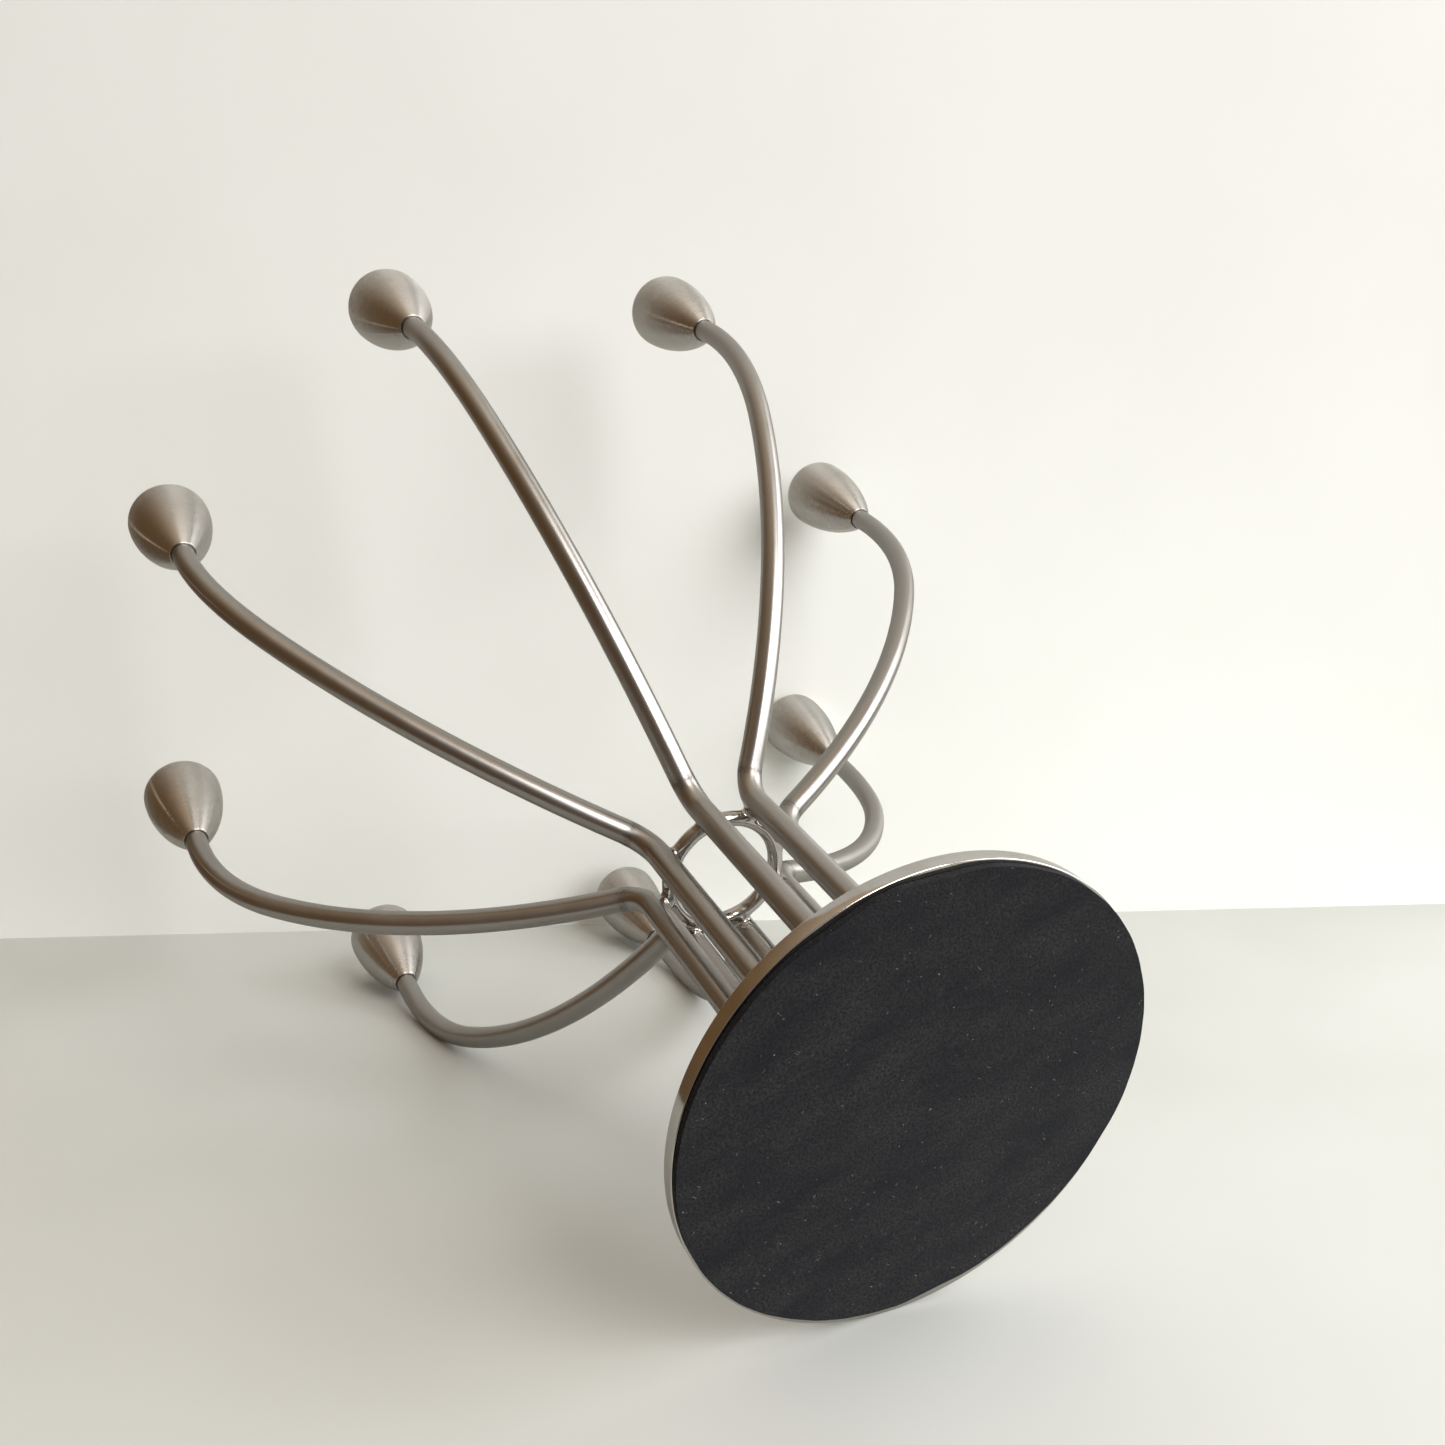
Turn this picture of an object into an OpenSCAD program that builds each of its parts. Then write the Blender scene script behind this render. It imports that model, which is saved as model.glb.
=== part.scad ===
/* [Base] */
// Diameter of the round steel base plate
base_d = 140; // [140:2:180]
// Thickness of the base plate
base_t = 4.5; // [3.5:0.5:8]
// Diameter of the foam pad under the plate
pad_d = 137; // [100:1:137]
// Thickness of the foam pad
pad_t = 2; // [1:0.5:4]
// How far the hand-glued pad sits off centre along X
pad_shift_x = 1.2; // [-1.2:0.1:1.2]
// How far the hand-glued pad sits off centre along Y
pad_shift_y = -0.2; // [-1.2:0.1:1.2]

/* [Arms] */
// Diameter of the rod that the arms are bent from
rod_d = 8; // [6:0.5:10]
// Radius of the circle on which the rods stand
rod_circle_r = 25.2; // [22:0.2:32]
// Height of the straight part of a rod above the plate
straight_h = 117.4; // [80:0.2:160]
// Centreline radius of the bend above the ring
bend_r = 15; // [12:1:24]
// Angle through which that bend leans the rod outwards
bend_angle = 63.6; // [50:0.2:75]
// Centreline radius of the long gentle sweep after the bend
sweep_r = 243; // [180:1:320]
// Length along the gentle sweep
sweep_len = 136.4; // [100:0.2:150]
// Centreline radius of the last upward curve
crook_r = 127; // [90:1:200]
// Length of the straight upright tip under a knob
tip_len = 4; // [1:1:20]

/* [Support ring] */
// Diameter of the ring's wire
wire_d = 5; // [3:0.5:6]
// Height of the ring's centreline above the start of the bends
ring_rise = 1; // [-20:1:2]
// Root gap between ring and rods that the welds fill
weld_gap = 0.1; // [0.05:0.05:0.3]
// Diameter of each weld bead
bead_d = 7; // [6:0.5:8]

/* [Knobs] */
// Largest diameter of a knob
knob_d = 29.4; // [24:0.2:34]
// Distance from the knob's small end to its widest point
knob_flank_h = 38.5; // [30:0.5:46]
// Height of the domed end beyond the widest point
knob_dome_h = 11; // [10:0.5:14]
// Radius of the rounded shoulder at the widest point
shoulder_r = 8.6; // [5:0.2:9]
// Thickness of the lip that the small end has round the rod
knob_lip = 0.5; // [0.3:0.1:1.5]
// Depth that the rod enters the small end before its shoulder seats
knob_seat_depth = 1.5; // [1:0.5:3]

/* [Fasteners] */
// Thread diameter of the screws up into the rods
screw_d = 4; // [3:0.5:4]
// Overall length of each screw, its head included
screw_len = 16; // [12:1:20]

/* [Hidden] */
arm_count = 8;
arm_pitch = 360 / arm_count;
edge_break = 0.3;

// Play on the diameter of a hole that a pin or a screw fits, and all round a rod in its knob's seat.
part_gap = 0.1;
seat_gap = 0.2;

// How far a cutting shape runs past the face it opens, and how much a joint between two curves swells.
cut_over = 1;
joint_swell = 0.02;

// Facets of a small round shape, of a wide one, and of a circle of which only a shallow arc is used.
round_fn = 64;
wide_fn = 2 * round_fn;
arc_fn = 4 * round_fn;

plate_z = pad_t;
plate_top = pad_t + base_t;
bend_z = plate_top + straight_h;
ring_z = bend_z + ring_rise;
ring_r = rod_circle_r - rod_d / 2 - weld_gap - wire_d / 2;

// The last curve brings the rod back to vertical, so its angle is what the sweep leaves over.
sweep_angle = sweep_len / sweep_r * 180 / PI;
crook_angle = bend_angle - sweep_angle;

// Radius and height at the end of each curve, and at the tip that carries the knob.
bend_end_r = rod_circle_r + bend_r * (1 - cos(bend_angle));
bend_end_z = bend_z + bend_r * sin(bend_angle);
sweep_end_r = bend_end_r + sweep_r * (cos(crook_angle) - cos(bend_angle));
sweep_end_z = bend_end_z + sweep_r * (sin(bend_angle) - sin(crook_angle));
tip_r = sweep_end_r + crook_r * (1 - cos(crook_angle));
crook_end_z = sweep_end_z + crook_r * sin(crook_angle);
tip_z = crook_end_z + tip_len;

// The tip of each arm is turned down to a spigot, and its shoulder seats inside the knob's small end.
spigot_d = 5;
spigot_len = 14;
spigot_root = 7;
spigot_room = 1;
seat_d = rod_d + 2 * seat_gap;
neck_z = tip_z - knob_seat_depth;
bore_depth = knob_seat_depth + spigot_len + spigot_room;

// Knob outline: a long flank arc, a tight shoulder arc and a flat dome arc, each tangent to the next.
knob_r = knob_d / 2;
neck_r = seat_d / 2 + knob_lip;
flank_arc_r = (pow(knob_flank_h, 2) + pow(knob_r - neck_r, 2)) / (2 * (knob_r - neck_r));
shoulder_x = knob_r - shoulder_r;
dome_chord_sq = pow(shoulder_x, 2) + pow(knob_dome_h, 2);
dome_arc_r = (dome_chord_sq - pow(shoulder_r, 2)) / (2 * (knob_dome_h - shoulder_r));
dome_centre_y = knob_flank_h + knob_dome_h - dome_arc_r;
dome_scale = dome_arc_r / (dome_arc_r - shoulder_r);
dome_join_x = shoulder_x * dome_scale;
dome_join_y = dome_centre_y + (knob_flank_h - dome_centre_y) * dome_scale;

// Countersunk screws: a 90 degree head flush with the underside of the plate.
head_d = 2 * screw_d;
head_h = (head_d - screw_d) / 2;
screw_clearance = 0.4;
thread_runout = 2;
clearance_d = screw_d + screw_clearance;
tapped_depth = screw_len - base_t + thread_runout;

// Puts its children at one of the arms' places, turned to face outwards.
module at_arm(index) {
    rotate([0, 0, (index - 1) * arm_pitch]) children();
}

// Puts its children on the centre of every rod.
module at_every_rod() {
    for (index = [1 : arm_count])
        at_arm(index)
            translate([rod_circle_r, 0, 0]) children();
}

// A length of round rod along a circular arc in the XZ plane. It starts at the origin, leaning
// outwards by "lean", and turns by "turn": outwards when positive, back upwards when negative.
module arc_rod(diameter, radius, lean, turn) {
    side = turn > 0 ? 1 : -1;
    translate([side * radius * cos(lean), 0, -side * radius * sin(lean)])
        rotate([90, 0, 0])
            rotate_extrude(angle = abs(turn), start = side > 0 ? 180 - lean - turn : -lean, $fn = round_fn)
                translate([radius, 0]) circle(d = diameter, $fn = round_fn);
}

// The upright part of one arm and the bend above it.
module arm_root() {
    translate([rod_circle_r, 0, plate_top]) cylinder(d = rod_d, h = straight_h, $fn = round_fn);
    translate([rod_circle_r, 0, bend_z]) arc_rod(rod_d, bend_r, 0, bend_angle);
}

// The outer part of one arm. A hair-thin swell at each joint fuses its curves into one rod.
module arm_reach() {
    translate([bend_end_r, 0, bend_end_z]) {
        sphere(d = rod_d + joint_swell, $fn = round_fn);
        arc_rod(rod_d, sweep_r, bend_angle, -sweep_angle);
    }
    translate([sweep_end_r, 0, sweep_end_z]) {
        sphere(d = rod_d + joint_swell, $fn = round_fn);
        arc_rod(rod_d, crook_r, crook_angle, -crook_angle);
    }
    translate([tip_r, 0, crook_end_z]) {
        sphere(d = rod_d + joint_swell, $fn = round_fn);
        cylinder(d = rod_d, h = tip_len, $fn = round_fn);
    }
    translate([tip_r, 0, tip_z - spigot_root])
        cylinder(d = spigot_d, h = spigot_root + spigot_len, $fn = round_fn);
}

module arm(index) {
    color("darkgray")
        at_arm(index)
            difference() {
                union() {
                    arm_root();
                    arm_reach();
                }
                translate([rod_circle_r, 0, plate_top - cut_over])
                    cylinder(d = screw_d + part_gap, h = tapped_depth + cut_over, $fn = round_fn);
            }
}

// Half of the knob's outline, with the axis along Y and the small end at zero.
module knob_outline() {
    intersection() {
        translate([knob_r - flank_arc_r, knob_flank_h]) circle(r = flank_arc_r, $fn = arc_fn);
        square([knob_r, knob_flank_h]);
    }
    intersection() {
        translate([shoulder_x, knob_flank_h]) circle(r = shoulder_r, $fn = round_fn);
        translate([shoulder_x, knob_flank_h]) square([shoulder_r, shoulder_r]);
    }
    intersection() {
        translate([0, dome_centre_y]) circle(r = dome_arc_r, $fn = wide_fn);
        translate([0, dome_join_y]) square([dome_join_x, knob_dome_h]);
    }
    polygon([[0, knob_flank_h], [shoulder_x, knob_flank_h], [dome_join_x, dome_join_y], [0, dome_join_y]]);
}

module knob(index) {
    color("silver")
        at_arm(index)
            translate([tip_r, 0, neck_z])
                difference() {
                    rotate_extrude($fn = round_fn) knob_outline();
                    translate([0, 0, -cut_over])
                        cylinder(d = seat_d, h = knob_seat_depth + cut_over, $fn = round_fn);
                    cylinder(d = spigot_d + part_gap, h = bore_depth, $fn = round_fn);
                }
}

// Round plate with broken edges, drilled and countersunk from below for the screws.
module base_plate() {
    color("lightgray")
        difference() {
            translate([0, 0, plate_z])
                rotate_extrude($fn = wide_fn)
                    polygon([
                        [0, 0],
                        [base_d / 2 - edge_break, 0],
                        [base_d / 2, edge_break],
                        [base_d / 2, base_t - edge_break],
                        [base_d / 2 - edge_break, base_t],
                        [0, base_t]
                    ]);
            at_every_rod()
                translate([0, 0, plate_z]) {
                    translate([0, 0, -cut_over])
                        cylinder(d = clearance_d, h = base_t + 2 * cut_over, $fn = round_fn);
                    cylinder(d1 = head_d, d2 = screw_d, h = head_h, $fn = round_fn);
                }
        }
}

module base_pad() {
    color([0.13, 0.13, 0.14])
        translate([pad_shift_x, pad_shift_y, 0]) cylinder(d = pad_d, h = pad_t, $fn = wide_fn);
}

module base_screws() {
    color("dimgray")
        at_every_rod()
            translate([0, 0, plate_z]) {
                cylinder(d1 = head_d, d2 = screw_d, h = head_h, $fn = round_fn);
                cylinder(d = screw_d, h = screw_len, $fn = round_fn);
            }
}

module ring_body() {
    translate([0, 0, ring_z])
        rotate_extrude($fn = wide_fn)
            translate([ring_r, 0]) circle(d = wire_d, $fn = round_fn);
}

module support_ring() {
    color("gainsboro") ring_body();
}

// One bead of weld round each place where the ring meets a rod.
module ring_welds() {
    color("whitesmoke")
        for (index = [1 : arm_count])
            at_arm(index)
                difference() {
                    translate([ring_r + wire_d / 2, 0, ring_z]) sphere(d = bead_d, $fn = round_fn);
                    arm_root();
                    ring_body();
                }
}

base_plate();
base_pad();
base_screws();
support_ring();
ring_welds();
arm(1);  // arm_1
arm(2);  // arm_2
arm(3);  // arm_3
arm(4);  // arm_4
arm(5);  // arm_5
arm(6);  // arm_6
arm(7);  // arm_7
arm(8);  // arm_8
knob(1);  // knob_1
knob(2);  // knob_2
knob(3);  // knob_3
knob(4);  // knob_4
knob(5);  // knob_5
knob(6);  // knob_6
knob(7);  // knob_7
knob(8);  // knob_8
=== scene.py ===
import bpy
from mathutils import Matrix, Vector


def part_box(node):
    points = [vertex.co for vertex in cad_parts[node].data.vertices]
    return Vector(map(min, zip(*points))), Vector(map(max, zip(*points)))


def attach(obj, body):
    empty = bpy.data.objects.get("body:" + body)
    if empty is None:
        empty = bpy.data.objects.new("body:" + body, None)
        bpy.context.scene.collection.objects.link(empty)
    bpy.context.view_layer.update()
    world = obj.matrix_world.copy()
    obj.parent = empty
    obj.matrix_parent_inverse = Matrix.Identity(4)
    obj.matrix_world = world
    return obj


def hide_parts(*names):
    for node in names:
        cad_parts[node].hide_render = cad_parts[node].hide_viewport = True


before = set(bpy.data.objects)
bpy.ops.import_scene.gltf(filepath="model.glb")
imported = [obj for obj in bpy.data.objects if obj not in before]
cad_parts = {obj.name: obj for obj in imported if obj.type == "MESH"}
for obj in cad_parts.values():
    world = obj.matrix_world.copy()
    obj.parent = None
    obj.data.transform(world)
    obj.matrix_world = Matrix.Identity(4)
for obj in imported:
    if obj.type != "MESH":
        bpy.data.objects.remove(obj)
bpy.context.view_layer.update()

import math

import bmesh
import bpy
import numpy as np
from mathutils import Matrix, Vector

# ---------------------------------------------------------------- sizes, in metres and radians
MM = 0.001
PLATE_LOW, PLATE_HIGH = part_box("base_plate")
PAD_LOW, PAD_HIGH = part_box("base_pad")
KNOB_LOW, KNOB_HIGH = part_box("knob_1")
RING_LOW, RING_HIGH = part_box("support_ring")

ARM_COUNT = 8
ARM_PITCH = math.tau / ARM_COUNT

QUARTER = math.pi / 2

# Outlines that are turned and capped start or end this far from the axis.
AXIS_R = 0.05 * MM

# The arm's centreline: upright, a tight bend outwards, a long sweep, a crook back to upright.
ROD_R = 4.0 * MM
ROD_SEGMENTS = 56
ROD_CIRCLE_R = 25.2 * MM
STRAIGHT_H = 117.4 * MM
BEND_R = 15.0 * MM
BEND_ANGLE = math.radians(63.6)
BEND_LEN = BEND_R * BEND_ANGLE
BEND_Z = PLATE_HIGH.z + STRAIGHT_H
SWEEP_R = 243.0 * MM
SWEEP_LEN = 136.4 * MM
CROOK_R = 127.0 * MM
CROOK_ANGLE = BEND_ANGLE - SWEEP_LEN / SWEEP_R
TIP_LEN = 4.0 * MM
FOOT_CHAMFER = 0.3 * MM

# How many straight steps each of those stretches, and the tip, is drawn with.
STRAIGHT_STEPS = 40
BEND_STEPS = 26
SWEEP_STEPS = 70
CROOK_STEPS = 46
TIP_STEPS = 4

# The tight bend makes the rod this much thinner in its plane and wider beside it, as shares of
# its radius, over this share of the bend. The bending tool leaves a dark mark near its end.
BEND_THINNING = 0.045
BEND_WIDENING = 0.02
BEND_SPREAD = 0.42
BEND_MIDDLE = STRAIGHT_H + BEND_LEN / 2
TOOL_MARK_RUN = STRAIGHT_H + BEND_LEN - 3.5 * MM
TOOL_MARK_SPREAD = 1.8 * MM

# Each rod and knob takes its brush lines from its own stretch of the noise.
ROD_GRAIN_STEP = 0.37
KNOB_GRAIN_STEP = 0.21

# The knob: flank, shoulder and dome arcs, as in the CAD, with a seat for the end of the rod.
KNOB_Z = KNOB_LOW.z
KNOB_R = (KNOB_HIGH.y - KNOB_LOW.y) / 2
KNOB_H = KNOB_HIGH.z - KNOB_LOW.z
KNOB_SEGMENTS = 112
LIP_STEPS = 4
FLANK_STEPS = 60
SHOULDER_STEPS = 24
DOME_STEPS = 20
FLANK_H = 38.5 * MM
SHOULDER_R = 8.6 * MM
SEAT_R = 4.2 * MM
SEAT_DEPTH = 1.5 * MM
NECK_R = 4.7 * MM
LIP_EDGE_R = 0.08 * MM

# The dome stops this angle short of its crown.
CROWN_GAP = 0.003

# The corner of the seat, round the rod, is painted darker as shade, and its lip is a little worn.
SEAT_SHADE_SPREAD = 0.3 * MM
LIP_WEAR = 0.5
LIP_WEAR_SPREAD = 0.25 * MM

# The support ring, and the weld fillets between it and the rods.
WIRE_R = (RING_HIGH.z - RING_LOW.z) / 2
RING_R = RING_HIGH.x - WIRE_R
RING_Z = (RING_LOW.z + RING_HIGH.z) / 2
RING_SEGMENTS = 256
WIRE_SEGMENTS = 48
FILLET_BLEND = 3.0 * MM

# A weld's skin is looked for along rays of this length, in this many samples, and ends up this
# far below the blended skin. The least climb keeps a division from being by zero.
WELD_REACH = 6.2 * MM
WELD_SAMPLES = 320
WELD_SINK = 0.02 * MM
WELD_FINENESS = 5
LEAST_CLIMB = 1e-12

# The plate and its screw holes.
PLATE_R = PLATE_HIGH.x
PLATE_SEGMENTS = 288
PLATE_RIM_STEPS = 6
PLATE_EDGE_R = 0.28 * MM
RIM_FLAT = 0.2 * MM
HOLE_SEGMENTS = 40
HOLE_R = 2.2 * MM
SINK_R = 4.0 * MM
SINK_H = 2.0 * MM
CUT_OVER = 0.5 * MM
SHARP_ANGLE = math.radians(30)

# Points this near the plate's rims are worn, and the others this near its top are satin.
RIM_BAND = 1.2 * PLATE_EDGE_R
FACE_BAND = 0.08 * MM

# The hand-cut pad: a shallow oval, a little off the plate's centre, with a few straight snips.
# Each snip has the angle of its middle in degrees and its distance from the centre in mm. A snip
# cuts only where the cosine of the angle from its middle is above the limit.
PAD_R = 68.5 * MM
PAD_SHIFT = 1.2 * MM
PAD_OVAL = 1.1 * MM
PAD_SNIPS = ((352, 67.9), (18, 67.9), (140, 67.2), (190, 65.7), (228, 67.6))
SNIP_BLEND = 0.5 * MM
SNIP_LIMIT = 0.5
OUT_OF_REACH = 1.0
PAD_SEGMENTS = 360
PAD_RINGS = 46
PAD_MARGIN = 0.15 * MM

# The knife wanders in and out by these amounts, in this many waves round the pad.
WOBBLE = 0.07 * MM
WOBBLE_WAVES = 19
WOBBLE_START = 0.7
WOBBLE_BEATS = 5
TREMOR = 0.03 * MM
TREMOR_WAVES = 47

# The pad's face: its rise above the lowest plane, and two crossing ripples that fade out at the
# rim. Each ripple has its radians per metre along x and y, and its start.
FACE_LIFT = 0.03 * MM
FACE_RIPPLE = 0.05 * MM
RIPPLES = ((95, 40, 0.0), (-60, 120, 1.3))
RIPPLE_FADE = 6

# The pad's cut edge, in mm: how far outside the rim it is, at heights above the face and at
# depths below the plate. The 1 marks the tip of the burr, which the waves lift.
EDGE_ABOVE_FACE = ((-0.12, 0.02, 0), (0.0, 0.12, 1), (-0.08, 0.9, 0))
EDGE_BELOW_PLATE = ((0.02, 0.25), (-0.05, 0.01))
BURR_LIFT = 0.03 * MM
BURR_WAVES = 17


# ---------------------------------------------------------------- mesh helpers
def mark_points(mesh, **attributes):
    """Gives a mesh named numbers or vectors at its points."""
    for key, values in attributes.items():
        values = np.asarray(values, np.float32)
        kind, field = ("FLOAT", "value") if values.ndim == 1 else ("FLOAT_VECTOR", "vector")
        mesh.attributes.new(key, kind, "POINT").data.foreach_set(field, values.ravel())


def make_piece(name, verts, faces, material, slot, replaced, **attributes):
    """Adds a smooth mesh with named point attributes, and lets it ride on the part's only body."""
    mesh = bpy.data.meshes.new(name)
    mesh.from_pydata([tuple(v) for v in verts], [], faces)
    mark_points(mesh, **attributes)
    mesh.validate()
    mesh.shade_smooth()
    mesh.materials.append(material)
    piece = bpy.data.objects.new(name, mesh)
    bpy.context.scene.collection.objects.link(piece)
    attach(piece, "root")
    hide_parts(*replaced)
    return piece


def ring_faces(rings, segments):
    """Quads between neighbouring closed rings of points."""
    quads = []
    for ring in range(rings - 1):
        for k in range(segments):
            near, far = ring * segments, (ring + 1) * segments
            after = (k + 1) % segments
            quads.append((near + k, near + after, far + after, far + k))
    return quads


def end_caps(count, segments):
    """One face on the first and one on the last ring of that many points."""
    return [tuple(reversed(range(segments))), tuple(range(count - segments, count))]


def turns(segments):
    """Evenly spaced angles of one whole turn."""
    return np.arange(segments) * math.tau / segments


def arc_points(centre, radius, start, stop, steps):
    """Points on a circular arc, both ends included."""
    angles = np.linspace(start, stop, steps + 1)
    return [(centre[0] + radius * math.cos(a), centre[1] + radius * math.sin(a)) for a in angles]


def hump(distance, width):
    """A smooth hump: 1 where the distance is 0, and close to 0 beyond twice the width."""
    return np.exp(-((distance / width) ** 2))


def smooth_union(a, b, reach):
    """Distance to two shapes blended by a fillet of about that reach."""
    share = np.clip(0.5 + 0.5 * (b - a) / reach, 0, 1)
    return b * (1 - share) + a * share - reach * share * (1 - share)


def lathe(outline, segments, centre=(0.0, 0.0, 0.0), closed=False):
    """Turns an outline of (radius, height) points about Z.

    It gives the points, the faces, the surface's own brushing coordinates, and the direction of
    the outline, across which the brush lines run. Without "closed", both ends are capped.
    """
    outline = np.array(outline, float)
    steps = np.linalg.norm(np.diff(outline, axis=0), axis=1)
    run = np.concatenate([[0.0], np.cumsum(steps)])
    along = np.gradient(outline, axis=0)
    along /= np.linalg.norm(along, axis=1)[:, None]
    theta = turns(segments)
    cos, sin = np.cos(theta), np.sin(theta)
    radius, height = outline[:, :1], outline[:, 1:]
    flat = np.ones_like(cos)
    verts = np.stack([radius * cos, radius * sin, height * flat], -1).reshape(-1, 3)
    grain = np.stack([radius * cos, radius * sin, run[:, None] * flat], -1).reshape(-1, 3)
    stretch = np.stack([along[:, :1] * cos, along[:, :1] * sin, along[:, 1:] * flat], -1)
    faces = ring_faces(len(outline), segments)
    if closed:
        last = (len(outline) - 1) * segments
        for k in range(segments):
            after = (k + 1) % segments
            faces.append((last + k, last + after, after, k))
    else:
        faces += end_caps(len(verts), segments)
    return verts + np.array(centre), faces, grain, stretch.reshape(-1, 3)


def turned(points, index):
    """The points of the first arm, turned to another arm's place."""
    angle = (index - 1) * ARM_PITCH
    cos, sin = math.cos(angle), math.sin(angle)
    spin = np.array([[cos, -sin, 0], [sin, cos, 0], [0, 0, 1]])
    return np.asarray(points) @ spin.T


def copied_round(points, faces):
    """Points and faces of one copy at every arm."""
    all_points, all_faces = [], []
    for index in range(1, ARM_COUNT + 1):
        all_faces += [tuple(v + len(all_points) for v in face) for face in faces]
        all_points += [tuple(point) for point in turned(points, index)]
    return all_points, all_faces


# ---------------------------------------------------------------- node helpers
def add(tree, kind, inputs=None, **settings):
    """Adds a shader node, sets its properties, and sets or links its inputs."""
    made = tree.nodes.new(kind)
    for key, value in settings.items():
        setattr(made, key, value)
    for key, value in (inputs or {}).items():
        if isinstance(value, bpy.types.NodeSocket):
            tree.links.new(value, made.inputs[key])
        else:
            made.inputs[key].default_value = value
    return made


def calc(tree, operation, a, b=0.0, c=0.0):
    """One step of arithmetic on numbers or sockets."""
    return add(tree, "ShaderNodeMath", {0: a, 1: b, 2: c}, operation=operation).outputs[0]


def along_axis(tree, place, axis):
    """How far a place or direction lies along an axis."""
    made = add(tree, "ShaderNodeVectorMath", {0: place, 1: tuple(axis)}, operation="DOT_PRODUCT")
    return made.outputs["Value"]


def marked(tree, name):
    """The number that a mesh attribute holds, 0 where the mesh has none of that name."""
    return add(tree, "ShaderNodeAttribute", attribute_name=name).outputs["Fac"]


def noise(tree, source, per_metre, detail, roughness):
    """Noise with its own frequency along each axis, in cycles per metre."""
    scaled = add(tree, "ShaderNodeVectorMath", {0: source, 1: per_metre}, operation="MULTIPLY")
    inputs = {"Vector": scaled.outputs[0], "Scale": 1.0, "Detail": detail, "Roughness": roughness}
    return add(tree, "ShaderNodeTexNoise", inputs).outputs["Fac"]


def spread(tree, value, low, high, start=0.35, end=0.65):
    """Stretches a range, or else the middle of a noise, to run from low to high."""
    inputs = {"Value": value, "From Min": start, "From Max": end, "To Min": low, "To Max": high}
    return add(tree, "ShaderNodeMapRange", inputs).outputs["Result"]


def sway(tree, value, amount, level):
    """A level that a noise moves up and down, by half that amount either way."""
    return calc(tree, "MULTIPLY_ADD", spread(tree, value, -0.5, 0.5), amount, level)


def mix(tree, factor, a, b):
    """Mixes two colours."""
    return add(tree, "ShaderNodeMix", {0: factor, 6: a, 7: b}, data_type="RGBA").outputs[2]


def grey(value, warmth):
    """A colour of that lightness. Warmth adds red, and takes away rather more blue."""
    return (value * (1 + warmth), value, value * (1 - BLUE_LOSS * warmth), 1.0)


def new_material(name):
    """A material with an empty node tree, and its output node."""
    material = bpy.data.materials.new(name)
    material.use_nodes = True
    material.node_tree.nodes.clear()
    return material, material.node_tree, material.node_tree.nodes.new("ShaderNodeOutputMaterial")


# ---------------------------------------------------------------- materials
BLACK = (0.0, 0.0, 0.0, 1.0)

# Warm greys lose this much blue for the red they gain.
BLUE_LOSS = 1.4

# The steel's marks, in cycles per metre.
BRUSH_LINES = (120.0, 120.0, 9000.0)
GRIT = (2200.0,) * 3
CLOUDS = (38.0,) * 3
SMEARS = (150.0, 150.0, 60.0)
RUB_AND_SHADE_PATCHES = (900.0,) * 3

# The marks' tones as shares of the steel's own, and how strongly they show.
CLOUD_TONE = 0.95
CLOUD_WARMTH = 1.3
LINE_TONE = 0.7
LINE_SHOWS = 0.14
GRIT_TONE = 0.6
GRIT_SHOWS = 0.16
WORN_TONE = 1.2
WORN_WARMTH = 0.6
WORN_LEAST = 0.4
# The rub marks' tone and warmth also paint shade in the corners of the knobs' seats.
RUB_AND_SHADE_TONE = 0.4
RUB_AND_SHADE_WARMTH = 2
RUB_AND_SHADE_SHOWS = 0.95
RUB_AND_SHADE_LEAST = 0.2

# What the marks add to the roughness, or take away from it, and how deep the brush lines are.
LINE_MATT = 0.05
SMEAR_MATT = 0.1
CLOUD_MATT = 0.15
WORN_POLISH = 0.4
RUB_AND_SHADE_MATT = 0.2
SATIN_MATT = 0.3
LINE_STRENGTH = 0.3
LINE_DEPTH = 0.0015 * MM
RIM_WARMTH = 0.02


def steel_marks(tree):
    """Masks of the steel's marks. The mesh attribute "edge" places wear, and a second attribute
    places rub marks and painted shade.
    """
    grain = add(tree, "ShaderNodeAttribute", attribute_name="grain").outputs["Vector"]
    place = add(tree, "ShaderNodeNewGeometry").outputs["Position"]
    marks = {
        "lines": noise(tree, grain, BRUSH_LINES, detail=3.0, roughness=0.6),
        "grit": noise(tree, grain, GRIT, detail=2.0, roughness=0.6),
        "clouds": noise(tree, place, CLOUDS, detail=3.0, roughness=0.5),
        "smears": noise(tree, place, SMEARS, detail=4.0, roughness=0.6),
    }
    wear = spread(tree, marks["smears"], WORN_LEAST, 1.0)
    patchiness = spread(tree, noise(tree, place, RUB_AND_SHADE_PATCHES, detail=3.0, roughness=0.6), RUB_AND_SHADE_LEAST, 1.0)
    marks["worn"] = calc(tree, "MULTIPLY", marked(tree, "edge"), wear)
    marks["rubbed"] = calc(tree, "MULTIPLY", marked(tree, "scuff"), patchiness)
    return marks


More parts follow.
